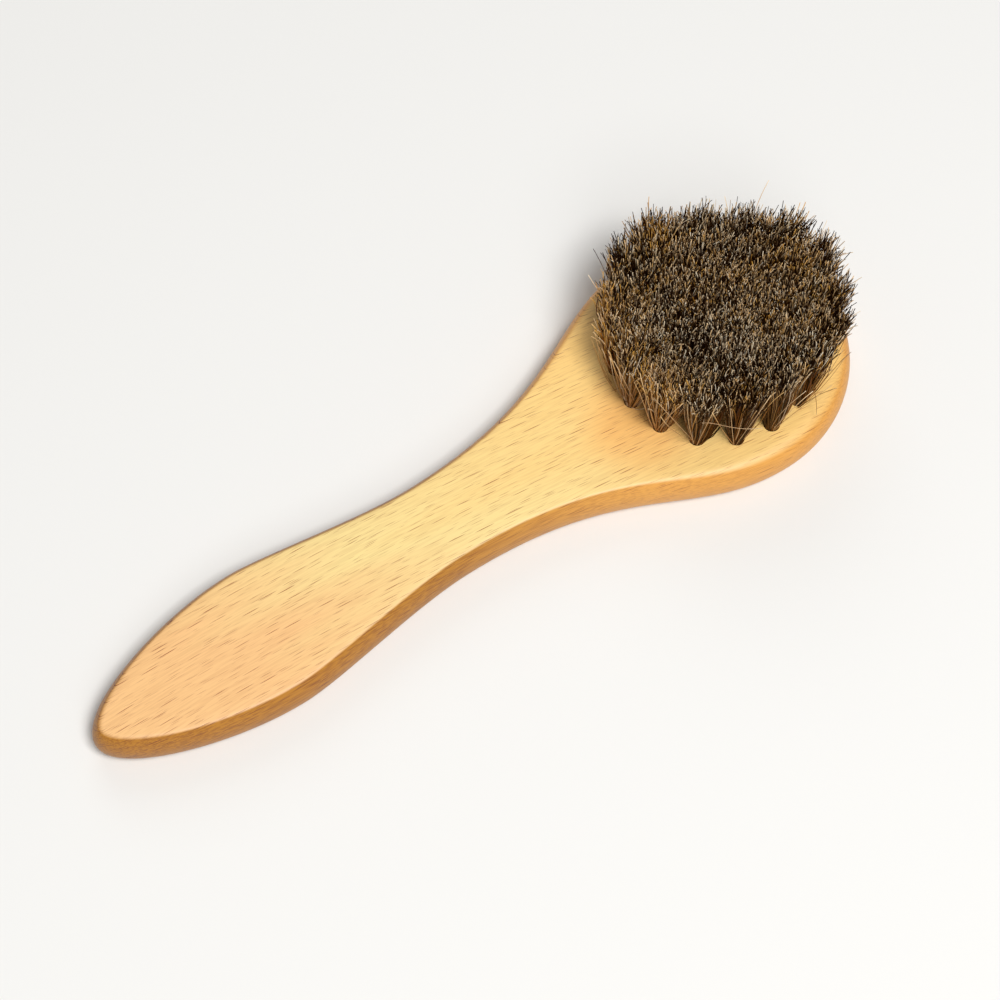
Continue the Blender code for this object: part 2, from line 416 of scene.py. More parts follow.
        # the sides, cut across the fibres, show stronger dashes and fibres, and take the sides' colour:
        # partly the finish soaking deeper, partly painted shade where they face away from the lamps
        upright = add("SeparateXYZ", {0: coords["Normal"]}).outputs["Z"]
        level = add("Math", {0: upright}, operation="ABSOLUTE")
        sideways = add("MapRange", {"Value": level, "From Min": 1.0, "From Max": self.side_slope,
                               "To Max": self.side_strength})
        along = add("SeparateXYZ", {0: grain}).outputs["X"]
        grip_x, head_x = self.side_change
        to_head = add("MapRange", {"Value": along, "From Min": grip_x, "From Max": head_x})
        # partly painted shade: the sides' colour, deeper at the grip than at the head
        side = add("Mix", {0: to_head, MIX_A: self.grip_side_soak_and_shade, MIX_B: self.head_side_soak_and_shade},
                   data_type="RGBA")
        side_soaked_and_shaded = add("Mix", {0: sideways, MIX_A: self.face_tone(add, grain), MIX_B: side},
                    data_type="RGBA")
        strengths = []
        for on_face, on_grip, on_head in (self.dash_strength, self.fibre_strength):
            on_side = add("MapRange", {"Value": to_head, "To Min": on_grip, "To Max": on_head})
            strengths.append(add("MapRange", {"Value": sideways, "To Min": on_face,
                                              "To Max": on_side}))
        dash_strength, fibre_strength = strengths
        fibres = self.streaks(add, grain, self.fibre_cell, 1.0)
        clear, dense = self.fibre_edges
        fibred = add("MapRange", {"Value": fibres, "From Min": clear, "From Max": dense,
                                  "To Max": fibre_strength})
        strong = self.rays(add, grain, self.strong_cell, self.strong_radius)
        fine = self.rays(add, grain, self.fine_cell, self.fine_radius)
        dashes = add("Math", {0: fine, 1: self.fine_strength, 2: strong},
                     operation="MULTIPLY_ADD", use_clamp=True)
        dark = add("Math", {0: dashes, 1: dash_strength, 2: fibred},
                   operation="MULTIPLY_ADD", use_clamp=True)
        flecked = add("Mix", {0: dark, MIX_A: side_soaked_and_shaded, MIX_B: self.stain}, data_type="RGBA",
                      blend_type="MULTIPLY")
        # painted shadow beside the tufts on the neck's side
        away = add("VectorMath", {0: coords["Object"], 1: self.tuft_shadow_place},
                   operation="DISTANCE")
        near = add("MapRange", {"Value": away, "From Min": self.tuft_shadow_reach,
                                "From Max": self.tuft_shadow_reach / 3},
                   interpolation_type="SMOOTHSTEP")
        finished = add("Mix", {0: near, MIX_A: flecked, MIX_B: self.tuft_shadow_tint},
                       data_type="RGBA", blend_type="MULTIPLY")
        smooth, coarse = self.roughness
        rough = add("MapRange", {"Value": fibres, "To Min": smooth, "To Max": coarse})
        # the dashes are open pores
        bump = add("Bump", {"Height": dashes, "Strength": 0.5, "Distance": self.pore_depth},
                   invert=True)
        feed(shader, {"Base Color": finished, "Roughness": rough, "Normal": bump,
                      "Coat Weight": 0.2, "Coat Roughness": 0.45, "Coat IOR": 1.5})
        return material


@dataclass(frozen=True)
class Horsehair:
    """Mixed horsehair, washed and cut, from near black to cream.

    Each hair has one colour of its own, which turns browner towards the root and paler at the cut end.
    Towards the root it is also mostly darker, which is painted shade from deep in the tuft; the
    pale end is partly the real cut end and partly a painted highlight where the tips catch the
    light. The gloss is faint.
    """

    name: str = "mixed_horsehair"
    shades: dict[float, str] = field(default_factory=lambda: {
        0.0: "#1A0A02", 0.42: "#2D190A", 0.56: "#543920",
        0.68: "#A08254", 0.80: "#E8D0A2", 1.0: "#FFF8E6"})
    root_brown: str = "#AC7632"
    root_strength: float = 0.5
    root_range: Pair = (0.60, 0.94)  # shares of the length over which the hair browns and takes painted shade towards the root
    cut_end_and_highlight: str = "#FBF0D8"
    end_strength: float = 0.85
    end_range: Pair = (0.90, 0.97)  # shares of the length
    end_shades: Pair = (0.5, 0.9)  # from no pale end to the palest
    golden: str = "#E0B261"  # what full warmth leaves of each colour

    def make(self) -> Material:
        """Makes the material.

        Returns:
            The material.
        """
        material, shader, add = new_material(self.name)
        shade, warmth, along, root_painted_shading = (
            add("Attribute", attribute_name="hair_" + key).outputs["Fac"]
            for key in ("shade", "warmth", "along", "root_painted_shading"))
        own = add("ValToRGB", {0: shade})
        set_ramp(own, self.shades)
        low, high = self.root_range
        below = add("MapRange", {"Value": along, "From Min": high, "From Max": low,
                                 "To Max": self.root_strength})
        rooted = add("Mix", {0: below, MIX_A: own, MIX_B: self.root_brown}, data_type="RGBA")
        # painted shade: the hair is darkened towards the root by its root shading, standing in for
        # shade deep in the tuft
        lower = add("MapRange", {"Value": along, "From Min": low, "From Max": high,
                                 "To Min": root_painted_shading, "To Max": 1.0})
        toned = add("VectorMath", {0: rooted, "Scale": lower}, operation="SCALE")
        # the pale end is partly the real cut end and partly a painted highlight where the tips catch
        # the light
        start, full = self.end_range
        tip = add("MapRange", {"Value": along, "From Min": start, "From Max": full,
                               "To Max": self.end_strength})
        dark, light = self.end_shades
        pale = add("MapRange", {"Value": shade, "From Min": dark, "From Max": light})
        paler = add("Math", {0: tip, 1: pale}, operation="MULTIPLY")
        ended = add("Mix", {0: paler, MIX_A: toned, MIX_B: self.cut_end_and_highlight}, data_type="RGBA")
        warm = add("Mix", {0: warmth, MIX_A: ended, MIX_B: self.golden}, data_type="RGBA",
                   blend_type="MULTIPLY")
        feed(shader, {"Base Color": warm, "Roughness": 0.35, "Specular IOR Level": 0.03})
        return material


@dataclass(frozen=True)
class ZincPlatedSteel:
    """Flat steel wire with a thin bright zinc plating, cut to length."""

    name: str = "zinc_plated_steel"
    colour: str = "#B8BABC"
    line_spacing: float = 0.1 * MM
    roughness: Pair = (0.25, 0.45)

    def make(self) -> Material:
        """Makes the material.

        Returns:
            The material.
        """
        material, shader, add = new_material(self.name)
        place = add("TexCoord").outputs["Object"]
        lines = add("TexNoise", {"Vector": place, "Scale": 1 / self.line_spacing})
        smooth, coarse = self.roughness
        rough = add("MapRange", {"Value": lines, "To Min": smooth, "To Max": coarse})
        feed(shader, {"Base Color": self.colour, "Metallic": 1.0, "Roughness": rough})
        return material


@dataclass(frozen=True)
class PaleFloor:
    """Matt pale paper."""

    name: str = "pale_paper"
    colour: str = "#E6E5E2"

    def make(self) -> Material:
        """Makes the material.

        Returns:
            The material.
        """
        material, shader, _ = new_material(self.name)
        feed(shader, {"Base Color": self.colour, "Roughness": 0.9})
        return material


@dataclass
class BeechHandle:
    """The one-piece handle: grip, neck and drilled round head."""

    wood: Material
    drilling: HolePattern
    length: float = 175 * MM
    head_width: float = 55 * MM
    head_nose: float = 28.6 * MM
    grip_width: float = 30 * MM
    grip_from_tip: float = 39 * MM
    neck_width: float = 21 * MM
    neck_from_tip: float = 79.5 * MM
    tip_radius: float = 3.5 * MM
    # how far the outline's curves pull before and after each place, as shares of the
    # stretch to the next place
    grip_pulls: Pair = (0.41, 0.21)
    neck_pulls: Pair = (0.31, 0.585)
    head_pull: float = 0.335
    side_bow: float = 2 * MM
    grip_softness: float = 0.45 * MM
    head_softness: float = 3.0 * MM
    tip_softness: float = 0.8 * MM
    # where along the handle the softness changes from the grip's to the head's and the tip's
    to_head_x: Pair = (20 * MM, 80 * MM)
    to_tip_x: Pair = (-70 * MM, -87 * MM)
    shoulder_width: float = 3.2 * MM  # of the band inside the edge where the face falls
    shoulder_drop: float = 0.22 * MM
    shoulder_start_x: Pair = (-86 * MM, -72 * MM)
    tip_shoulder: float = 0.05  # share of the shoulder that the tip has
    shoulder_fade_x: Pair = (0.0, 45 * MM)
    head_fade: float = 0.8  # share of the drop that the head lacks
    shoulder_steps: int = 4
    curve_points: int = 40
    side_steps: int = 10
    edge_steps: int = 6
    flat_rim: float = 0.15 * MM
    hole_sides: int = 24

    def half_outline(self) -> list[Vector]:
        """Draws half of the outline.

        Returns:
            The points of its +Y side, from the tip to the head's end.
        """
        tip_x, end_x = -self.length / 2, self.length / 2
        grip_x, neck_x = tip_x + self.grip_from_tip, tip_x + self.neck_from_tip
        head_x = end_x - self.head_nose
        grip, neck, head = self.grip_width / 2, self.neck_width / 2, self.head_width / 2
        handle_x = grip_x - self.grip_pulls[0] * self.grip_from_tip
        # a cubic's end curvature gives the pull that rounds the tip to its radius
        tip_pull = math.sqrt(2 * (handle_x - tip_x) * self.tip_radius / 3)
        to_neck, to_head = neck_x - grip_x, head_x - neck_x
        quarter = 0.5523  # makes a cubic follow a quarter of an ellipse
        curves = (
            ((tip_x, 0), (tip_x, tip_pull), (handle_x, grip), (grip_x, grip)),
            ((grip_x, grip), (grip_x + self.grip_pulls[1] * to_neck, grip),
             (neck_x - self.neck_pulls[0] * to_neck, neck), (neck_x, neck)),
            ((neck_x, neck), (neck_x + self.neck_pulls[1] * to_head, neck),
             (head_x - self.head_pull * to_head, head), (head_x, head)),
            ((head_x, head), (head_x + quarter * self.head_nose, head),
             (end_x, quarter * head), (end_x, 0)),
        )
        points = []
        for curve in curves:
            corners = [Vector((x, y, 0)) for x, y in curve]
            points += interpolate_bezier(*corners, self.curve_points)[:-1]
        return [*points, Vector((end_x, 0, 0))]

    def outline(self) -> list[tuple[Vector, Vector]]:
        """Closes the outline.

        Returns:
            Its points, each with its outward normal.
        """
        upper = self.half_outline()
        points = upper + [Vector((p.x, -p.y, 0)) for p in reversed(upper[1:-1])]
        outline = []
        for i, point in enumerate(points):
            along = (points[(i + 1) % len(points)] - points[i - 1]).normalized()
            outline.append((point, Vector((-along.y, along.x, 0))))
        return outline

    def softness(self, x: float) -> float:
        """How far the sanding of the edge reaches.

        Args:
            x: Place along the handle.

        Returns:
            The reach from the edge, the same down the side and in over the face.
        """
        soft = self.grip_softness
        soft += (self.head_softness - soft) * smooth_step(x, *self.to_head_x)
        return soft + (self.tip_softness - soft) * smooth_step(x, *self.to_tip_x)

    def shoulder(self, x: float) -> Pair:
        """The band where the face falls, which narrows at the tip and flattens at the head.

        Args:
            x: Place along the handle.

        Returns:
            Its width and its drop.
        """
        grown = smooth_step(x, *self.shoulder_start_x)
        share = self.tip_shoulder + (1 - self.tip_shoulder) * grown
        faded = 1 - self.head_fade * smooth_step(x, *self.shoulder_fade_x)
        return self.shoulder_width * share, self.shoulder_drop * share * faded

    def profile(self, x: float) -> list[Pair]:
        """The side from the underside to the face, for one place on the outline.

        Args:
            x: Place along the handle.

        Returns:
            Pairs of how far inside the outline and how high.
        """
        soft = self.softness(x)
        width, drop = self.shoulder(x)
        half = self.drilling.face / 2
        radius = (half ** 2 + self.side_bow ** 2) / (2 * self.side_bow)
        reach = math.asin((half - drop) / radius)
        end = reach - soft / radius  # where the rounding starts on the side's arc
        start = Vector((radius * (1 - math.cos(end)), half + radius * math.sin(end)))
        edge = radius * (1 - math.cos(reach))
        # the shoulder is a parabola that leaves the face level and falls to the edge
        finish = Vector((edge + soft, 2 * half - drop * (1 - soft / width) ** 2
                         if width > soft else 2 * half))
        slope = 2 * drop / width * max(1 - soft / width, 0.0)
        # the rounding between is a quadratic curve, whose corner lies where the side's line
        # meets the shoulder's
        lift = 1 / math.tan(end)
        corner_x = (finish.y - start.y + lift * start.x - slope * finish.x) / (lift - slope)
        corner = Vector((corner_x, start.y + lift * (corner_x - start.x)))
        upper = []
        for step in range(self.side_steps // 2 + 1):
            angle = 2 * end * step / self.side_steps
            upper.append((radius * (1 - math.cos(angle)), half + radius * math.sin(angle)))
        for step in range(1, self.edge_steps + 1):
            t = step / self.edge_steps
            upper.append(tuple((1 - t) ** 2 * start + 2 * t * (1 - t) * corner + t * t * finish))
        inner = max(edge + width, finish.x + self.flat_rim)
        for step in range(1, self.shoulder_steps + 1):
            inset = finish.x + (inner - finish.x) * step / self.shoulder_steps
            left = (inner - inset) / (inner - finish.x)
            upper.append((inset, 2 * half - (2 * half - finish.y) * left ** 2))
        lower = [(inset, 2 * half - height) for inset, height in reversed(upper[1:])]
        return lower + upper

    def side(self, bm: BMesh) -> tuple[list[BMEdge], list[BMEdge]]:
        """Lofts the outline up the bowed side.

        Args:
            bm: The bmesh to add it to.

        Returns:
            The edges of the lowest ring and of the highest.
        """
        places = [(p, n, self.profile(p.x)) for p, n in self.outline()]
        loops = []
        for level in range(len(places[0][2])):
            ring = []
            for point, normal, profile in places:
                inset, height = profile[level]
                ring.append(bm.verts.new(point - normal * inset + Vector((0, 0, height))))
            loops.append([bm.edges.new((v, ring[i - 1])) for i, v in enumerate(ring)])
        for lower, upper in zip(loops, loops[1:]):
            bmesh.ops.bridge_loops(bm, edges=lower + upper)
        return loops[0], loops[-1]

    def drill(self, bm: BMesh, face_edges: list[BMEdge]) -> None:
        """Fills the face round the rims of the holes, and sinks each hole.

        Args:
            bm: The bmesh that has the side.
            face_edges: The edges round the face.
        """
        rims = []
        for hole in self.drilling.holes():
            rim = bmesh.ops.create_circle(bm, segments=self.hole_sides,
                                          radius=self.drilling.diameter / 2,
                                          matrix=Matrix.Translation(hole.middle))["verts"]
            rims.append(list({edge for vert in rim for edge in vert.link_edges}))
        bmesh.ops.triangle_fill(bm, use_beauty=True, normal=(0, 0, 1),
                                edges=face_edges + sum(rims, []))
        for rim in rims:
            wall = bmesh.ops.extrude_edge_only(bm, edges=rim)["geom"]
            low = [item for item in wall if isinstance(item, BMVert)]
            bmesh.ops.translate(bm, verts=low, vec=(0, 0, -self.drilling.depth))
            floor = [item for item in wall if isinstance(item, BMEdge)
                     and all(vert in low for vert in item.verts)]
            bmesh.ops.contextual_create(bm, geom=floor)

    def build(self) -> Object:
        """Builds the handle and dresses it.

        Returns:
            The piece.
        """
        bm = bmesh.new()
        under_edges, face_edges = self.side(bm)
        bmesh.ops.contextual_create(bm, geom=under_edges)
        self.drill(bm, face_edges)
        piece = add_object("beech_handle", to_mesh(bm, "beech_handle", self.wood))
        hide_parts("handle")
        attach(piece, BODY)
        return piece


@dataclass
class TuftAnchors:
    """The flat wires that hold the tufts' folds at the bottom of their holes."""

    steel: Material
    drilling: HolePattern
    thickness: float = 0.4 * MM
    height: float = 1.8 * MM
    length: float = 4.1 * MM
    above_bottom: float = 1.2 * MM
    cut_edge: float = 0.06 * MM

    def build(self) -> Object:
        """Builds all the anchors as one piece.

        Returns:
            The piece.
        """
        bm = bmesh.new()
        low = -self.drilling.depth + self.above_bottom + self.height / 2
        size = Matrix.Diagonal((self.thickness, self.length, self.height, 1))
        for hole in self.drilling.holes():
            place = Matrix.Translation(hole.middle) @ Matrix.Rotation(hole.angle, 4, "Z")
            lowered = place @ Matrix.Translation((0, 0, low))
            bmesh.ops.create_cube(bm, size=1.0, matrix=lowered @ size)
        bmesh.ops.bevel(bm, geom=bm.edges[:], offset=self.cut_edge, segments=1,
                        profile=0.5, affect="EDGES", material=-1)
        piece = add_object("tuft_anchors", to_mesh(bm, "tuft_anchors", self.steel))
        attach(piece, BODY)
        return piece


class HairBundle:
    """Many hairs in one mesh, which starts as copies of one closed hair of unit size."""

    sharp_angle = 80.0  # keeps a hair's sides smooth and its ends sharp
    taper = 0.15  # share of its radius that a hair loses by its tip
    tangent_step = 0.01  # share of the length to either side of where a tangent is taken

    def __init__(self, hair: Material, count: int, levels: tuple[float, ...],
                 plug: Mesh | None = None) -> None:
        """Makes the mesh.

        Args:
            hair: The hair's material.
            count: Number of hairs.
            levels: Where a hair has its rings, as shares of its length.
            plug: What goes into the mesh before the hairs, if anything.
        """
        strand = self.strand(hair, levels)
        shape = np.zeros(len(strand.vertices) * 3)
        strand.vertices.foreach_get("co", shape)
        bm = bmesh.new()
        if plug:
            bm.from_mesh(plug)
        self.first = len(bm.verts)
        for _ in range(count):
            bm.from_mesh(strand)
        self.mesh = bpy.data.meshes.new("hair_bundle")
        bm.to_mesh(self.mesh)
        bm.free()
        self.mesh.materials.append(hair)
        self.shape = shape.reshape(-1, 3)
        self.along = self.shape[:, 2]
        self.count = count

    def strand(self, hair: Material, levels: tuple[float, ...]) -> Mesh:
        """One hair of unit radius and height, three-sided and closed at both ends.

        Args:
            hair: Its material.
            levels: Where it has its rings.

        Returns:
            Its mesh.
        """
        bm = bmesh.new()
        bmesh.ops.create_circle(bm, cap_ends=True, segments=3, radius=1.0)
        top = bm.faces[:][0]
        for low, high in zip(levels, levels[1:]):
            raised = bmesh.ops.extrude_face_region(bm, geom=[top, *top.edges])["geom"]
            top = [item for item in raised if isinstance(item, BMFace)][0]
            bmesh.ops.translate(bm, verts=top.verts, vec=(0, 0, high - low))
        return to_mesh(bm, "strand", hair, self.sharp_angle)

    def laid(self, name: str, centreline: Callable[[np.ndarray], np.ndarray],
             hairs: dict[str, np.ndarray], plug_place: Vector | None = None) -> Object:
        """Lays a copy's hairs along their centrelines.

        Args:
            name: The piece's name.
            centreline: Gives hairs by shares by coordinates from shares of the length.
            hairs: For every hair its turn, radius, shade, warmth and root shading, the painted shade
                towards its root.
            plug_place: Where the plug stands.

        Returns:
            The piece.
        """
        middle = centreline(self.along)
        tangent = (centreline(self.along + self.tangent_step)
                   - centreline(self.along - self.tangent_step))
        tangent /= np.linalg.norm(tangent, axis=2, keepdims=True)
        level = np.stack([np.cos(hairs["turn"]), np.sin(hairs["turn"]),
                          np.zeros(self.count)], 1)
        side = np.cross(tangent, level[:, None])
        side /= np.linalg.norm(side, axis=2, keepdims=True)
        front = np.cross(tangent, side)
        radius = hairs["radius"][:, None] * (1 - self.taper * self.along ** 3)[None]
        offset = side * self.shape[None, :, :1] + front * self.shape[None, :, 1:2]
        mesh = self.mesh.copy()
        places = np.zeros(len(mesh.vertices) * 3)
        mesh.vertices.foreach_get("co", places)
        places = places.reshape(-1, 3)
        if plug_place:
            places[:self.first] += np.array(plug_place)
        places[self.first:] = (middle + radius[..., None] * offset).reshape(-1, 3)
        mesh.vertices.foreach_set("co", places.astype(np.float32).ravel())
        values = {"hair_" + key: np.repeat(hairs[key], len(self.along))
                  for key in ("shade", "warmth", "root_painted_shading")}
        values["hair_along"] = np.tile(self.along, self.count)
        for key, value in values.items():
            attribute = mesh.attributes.new(key, "FLOAT", "POINT")
            every = np.concatenate([np.zeros(self.first), value])
            attribute.data.foreach_set("value", every.astype(np.float32))
        mesh.update()
        piece = add_object(name, mesh)
        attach(piece, BODY)
        return piece


class ToneSpread(NamedTuple):
    """What moves a hair's shade or warmth away from its own."""

    lock: float  # standard deviation from lock to lock
    tuft: float  # and from tuft to tuft
    worn: float  # what full wear adds
    lit: float  # what a pale root adds


class HairPatch(NamedTuple):
    """A patch of the field whose hair has another tone than the rest."""

    middle: Pair  # along the lean and across it
    spread: float
    shade: float
    warmth: float


@dataclass(frozen=True)
class HairField:
    """The filling: a tuft of horsehair in every hole, opening to one trimmed field."""

    hair: Material
    drilling: HolePattern
    hairs: int = 600
    height: float = 19 * MM
    height_range: Pair = (0.6, 1.06)  # shares of the height
    start_depth: float = 0.9 * MM
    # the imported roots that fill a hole
    plug_play: float = 0.05 * MM  # all round
    plug_depth: float = 0.2 * MM  # of its top below the face
    plug_short: float = 0.5 * MM  # how much shorter it is than the hole
    fold_share: float = 0.6  # of its radius that is left at the fold
    plug_sides: int = 12
    root_radius: float = 1.55 * MM
    root_power: float = 0.45  # under one half, so that the roots crowd to the rim
    tuft_reach: float = 5.2 * MM
    lean_turn: float = 55.6  # degrees from +X to the way that the hair leans
    tip_shift: Pair = (0.25 * MM, 1.5 * MM)  # along the lean and across it
    tip_squeeze: Pair = (0.9, 1.0)  # of the field of tips, the same ways
    far_corners: float = 0.19  # how square the field is on the side that it leans to
    near_corner: float = 0.14  # how far it is cut back between the near side and the right
    locks: int = 40
    lock_pull: float = 0.25
    # how far tips scatter, as shares of a tuft's reach: hairs, whole locks and wild hairs
    tip_scatter: float = 0.12
    lock_scatter: float = 0.07
    wild_scatter: float = 0.5
    wild_share: float = 0.1  # of the hairs that lie across the others
    worn_wild: float = 0.4  # share that full wear adds to them
    trim_error: float = 0.3 * MM
    short_share: float = 0.3  # of the hairs that end below the trimmed field
    short_by: float = 1.0 * MM  # on average
    worn_short_by: float = 2.5 * MM
    hair_radius: float = 0.094 * MM
    radius_range: Pair = (0.7, 1.25)  # shares of the radius
    opening: Pair = (1.0, 1.6)  # 1 opens evenly, and more opens sooner
    bend: float = 0.35 * MM
    curl: float = 1.0 * MM  # how far a tip strays as its last part curls
    curl_power: int = 4  # how late along the hair the curl comes
    least_shade: float = -0.03  # a hair's own shade runs from here over a range of 1
    warmth: Pair = (0.5, 0.2)  # a hair's own: mean and standard deviation
    shade_spread: ToneSpread = ToneSpread(0.08, 0.04, 0.42, 0.1)
    warmth_spread: ToneSpread = ToneSpread(0.18, 0.08, 0.22, 0.1)
    lit_share: float = 0.36  # of the hairs that are nearly as pale at the root as at the tip, with little painted shade
    worn_lit: float = 0.6  # share that full wear adds to them
    lit_tones: Pair = (0.7, 1.0)  # painted shade of their roots, which is slight
    root_painted_shadings: Pair = (0.06, 0.5)  # painted shade of the other roots
    # where use has faded and splayed the hair, along the lean and across it
    worn_places: tuple[Pair, ...] = ((-17 * MM, -14 * MM), (-7 * MM, -22 * MM))
    worn_spread: float = 6.5 * MM
    worn_range: Pair = (0.2, 1.2)  # how much of the wear a hair takes
    patches: tuple[HairPatch, ...] = (
        HairPatch((20.5 * MM, -12 * MM), 4 * MM, 0.1, 0.35),
        HairPatch((12.5 * MM, 19.5 * MM), 5 * MM, 0.06, 0.2),
        HairPatch((1 * MM, 9 * MM), 5 * MM, 0.05, 0.1),
        HairPatch((-9 * MM, -4 * MM), 6 * MM, -0.12, -0.15),
        HairPatch((-20 * MM, 4 * MM), 6 * MM, -0.12, 0.0),
        HairPatch((8 * MM, -17 * MM), 4 * MM, -0.1, -0.05),
        HairPatch((2 * MM, -25.5 * MM), 3 * MM, 0.2, 0.15),
    )
    levels: tuple[float, ...] = (0.0, 0.06, 0.32, 0.62, 0.86, 0.96, 1.0)
    seed: int = 34

    def plug(self) -> Mesh:
        """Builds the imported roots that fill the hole.

        Returns:
            Their mesh, which narrows to the fold.
        """
        bm = bmesh.new()
        radius = self.drilling.diameter / 2 - self.plug_play
        depth = self.drilling.depth - self.plug_short
        middle = Matrix.Translation((0, 0, -depth / 2 - self.plug_depth))
        bmesh.ops.create_cone(bm, cap_ends=True, segments=self.plug_sides,
                              radius1=radius * self.fold_share, radius2=radius,
                              depth=depth, matrix=middle)
        return to_mesh(bm, "plug", self.hair, HairBundle.sharp_angle)

    def lean_axes(self) -> np.ndarray:
        """Directions along the lean and across it, one to a row."""
        turn = math.radians(self.lean_turn)
        return np.array([[math.cos(turn), math.sin(turn)], [math.sin(turn), -math.cos(turn)]])

    def trimmed_field(self, free: np.ndarray) -> np.ndarray:
        """Moves free tips to where they stand in the field, which leans and is squeezed.

        Args:
            free: Where the tips would stand round the head's middle, one to a row.

        Returns:
            Where they stand along the lean and across it.
        """
        turned = free @ self.lean_axes().T
        share = turned / np.linalg.norm(turned, axis=1, keepdims=True)
        corner = (2 * share[:, 0] * share[:, 1]) ** 2
        far, near = np.clip(share[:, 0], 0, 1), np.clip(-share[:, 0], 0, 1)
        outward = 1 + corner * (self.far_corners * far
                                - self.near_corner * near * (share[:, 1] > 0))
        return np.array(self.tip_shift) + turned * np.array(self.tip_squeeze) * outward[:, None]

    def spiral(self, count: int, power: float, rng: np.random.Generator) -> np.ndarray:
        """Spots spread over a disc of unit radius.

        Args:
            count: Number of spots.
            power: One half spreads them evenly, and less draws them to the rim.
            rng: Source of the spiral's turn.

        Returns:
            The spots, one to a row.
        """
        number = np.arange(count)
        turn = number * GOLDEN_ANGLE + rng.uniform(0, 2 * math.pi)
        reach = ((number + 0.5) / count) ** power
        return reach[:, None] * np.stack([np.cos(turn), np.sin(turn)], 1)

    def worn(self, ends: np.ndarray) -> np.ndarray:
        """How worn the hair is at places in the field, from 0 to 1."""
        away = ((ends[:, None] - np.array(self.worn_places)) ** 2).sum(2)
        return np.exp(-away / (2 * self.worn_spread ** 2)).max(1)

    def patched(self, ends: np.ndarray) -> np.ndarray:
        """What the patches add to the tone.

        Args:
            ends: Places in the field, one to a row.

        Returns:
            The shade and warmth to add, a column each.
        """
        away = ((ends[:, None] - np.array([patch.middle for patch in self.patches])) ** 2).sum(2)
        spread = np.array([patch.spread for patch in self.patches])
        change = np.array([(patch.shade, patch.warmth) for patch in self.patches])
        return np.exp(-away / (2 * spread ** 2)) @ change

    def layout(self, hole: Hole, rng: np.random.Generator) -> dict[str, np.ndarray]:
        """Settles where each hair of a tuft starts and ends, and its tone.

        Args:
            hole: The tuft's hole.
            rng: Source of the tuft's own variation.

        Returns:
            Arrays with a row for each hair.
        """
        spot = self.spiral(self.hairs, self.root_power, rng)
        lock_spot = self.spiral(self.locks, 0.5, rng)
        nearest = np.argmin(((spot[:, None] - lock_spot[None]) ** 2).sum(2), 1)

        def varied(spread: float, *shape: int) -> np.ndarray:
            """A value for every lock, given to each of its hairs."""
            return rng.normal(0, spread, (self.locks, *shape))[nearest]

        middle = np.array(hole.middle[:2])
        head = np.array((self.drilling.head_x, 0))
        tuft_worn = self.worn(self.trimmed_field((middle - head)[None]))
        wild = rng.random(self.hairs) < self.wild_share + self.worn_wild * tuft_worn
        tip = spot + rng.normal(0, self.tip_scatter, spot.shape)
        tip += self.lock_pull * (lock_spot[nearest] - tip) + varied(self.lock_scatter, 2)
        tip += wild[:, None] * rng.normal(0, self.wild_scatter, spot.shape)
        tip /= np.maximum(1, np.linalg.norm(tip, axis=1, keepdims=True))
        ends = self.trimmed_field(middle - head + self.tuft_reach * tip)
        worn = self.worn(ends) * rng.uniform(*self.worn_range, self.hairs)
        height = (self.height + rng.normal(0, self.trim_error, self.hairs)
                  + varied(self.trim_error))
        short = rng.random(self.hairs) < self.short_share
        height -= short * rng.exponential(self.short_by, self.hairs)
        height -= worn * rng.exponential(self.worn_short_by, self.hairs)
        lit_root = rng.random(self.hairs) < self.lit_share + self.worn_lit * worn
        paler, warmer = self.patched(ends).T

        def toned(own: np.ndarray, spread: ToneSpread, patch: np.ndarray) -> np.ndarray:
            """The hairs' shade or warmth, from 0 to 1."""
            return np.clip(own + varied(spread.lock) + rng.normal(0, spread.tuft)
                           + spread.worn * worn + spread.lit * lit_root + patch, 0, 1)

        return {
            "shade": toned(rng.random(self.hairs) + self.least_shade, self.shade_spread, paler),
            "warmth": toned(rng.normal(*self.warmth, self.hairs), self.warmth_spread, warmer),
            "root": middle + self.root_radius * spot,
            "end": head + ends @ self.lean_axes(),
            "height": np.clip(height, *(share * self.height for share in self.height_range)),
            "opening": rng.uniform(*self.opening, self.hairs),
            "bend": rng.normal(0, self.bend, (self.hairs, 2)) * (1 + wild[:, None]),
            "curl": rng.normal(0, self.curl, (self.hairs, 2)),
            "turn": rng.uniform(0, 2 * math.pi, self.hairs),
            "radius": self.hair_radius * rng.uniform(*self.radius_range, self.hairs),
            # painted shade at the roots: slight for the lit ones, deep for the others
            "root_painted_shading": np.where(lit_root, rng.uniform(*self.lit_tones, self.hairs),
                                  rng.uniform(*self.root_painted_shadings, self.hairs)),
        }

    def centreline(self, hairs: dict[str, np.ndarray], along: np.ndarray) -> np.ndarray:
        """Points on every hair.

        Args:
            hairs: What layout gave.
            along: Shares of a hair's length.

        Returns:
            An array of hairs by shares by three coordinates.
        """
        rise = hairs["height"][:, None] + self.start_depth
        heights = self.drilling.face - self.start_depth + rise * along[None]
        free = np.clip((heights - self.drilling.face) / hairs["height"][:, None], 0, 1)
        opened = 1 - (1 - free) ** hairs["opening"][:, None]
        sway = np.sin(math.pi * free)
        late = free ** self.curl_power
        reach = hairs["end"] - hairs["root"]
        flat = (hairs["root"][:, None] + opened[..., None] * reach[:, None]
                + sway[..., None] * hairs["bend"][:, None]
                + late[..., None] * hairs["curl"][:, None])
        return np.concatenate([flat, heights[..., None]], 2)

    def build(self) -> Iterator[Object]:
        """Builds the tufts.

        Yields:
            Every tuft, from the middle outwards.
        """
        bundle = HairBundle(self.hair, self.hairs, self.levels, self.plug())
        for hole in self.drilling.holes():
            rng = np.random.default_rng((self.seed, hole.ring.steps, hole.number))
            hairs = self.layout(hole, rng)
            tuft = bundle.laid("hair_" + hole.label, partial(self.centreline, hairs), hairs,
                               hole.middle)
            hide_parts("tuft_" + hole.label)
            yield tuft


